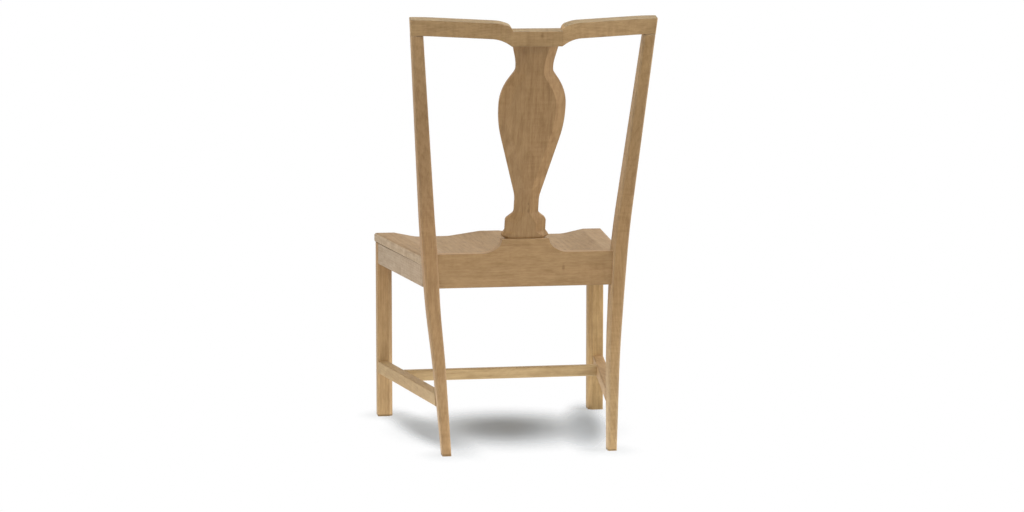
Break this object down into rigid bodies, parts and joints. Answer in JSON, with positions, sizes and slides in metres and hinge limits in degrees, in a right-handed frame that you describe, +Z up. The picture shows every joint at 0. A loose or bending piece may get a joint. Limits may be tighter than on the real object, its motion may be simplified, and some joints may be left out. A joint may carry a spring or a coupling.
{
  "type": "splat back side chair",
  "caption": "Wooden side chair with a saddle seat, a vase-shaped back splat, a stepped crest rail, raked rear posts and an H stretcher.",
  "frame": {"origin": "on the floor, under the middle of the chair's width and depth", "axes": "+Z up, the sitter faces -Y, +X to the sitter's left"},
  "size_m": [0.567, 0.6636, 1.0004],
  "materials": {
    "post_wood": "clear satin",
    "crest_wood": "clear satin",
    "splat_wood": "clear satin",
    "rail_wood": "clear satin",
    "side_rail_wood": "clear satin",
    "seat_wood": "clear satin",
    "leg_wood": "clear satin",
    "stretcher_wood": "clear satin",
    "cross_wood": "clear satin",
    "block_wood": "clear satin",
    "screw_steel": "plain zinc"
  },
  "bodies": {
    "root": {"rear_post_left": "post_wood", "rear_post_right": "post_wood", "crest_rail": "crest_wood", "splat": "splat_wood", "rear_seat_rail": "rail_wood", "side_seat_rail_left": "side_rail_wood", "side_seat_rail_right": "side_rail_wood", "front_seat_rail": "rail_wood", "saddle_seat": "seat_wood", "front_leg_left": "leg_wood", "front_leg_right": "leg_wood", "side_stretcher_left": "stretcher_wood", "side_stretcher_right": "stretcher_wood", "cross_stretcher": "cross_wood", "corner_block_front_left": "block_wood", "corner_block_front_right": "block_wood", "corner_block_rear_left": "block_wood", "corner_block_rear_right": "block_wood", "corner_block_screws": "screw_steel", "seat_screws": "screw_steel"}
  },
  "joints": []
}
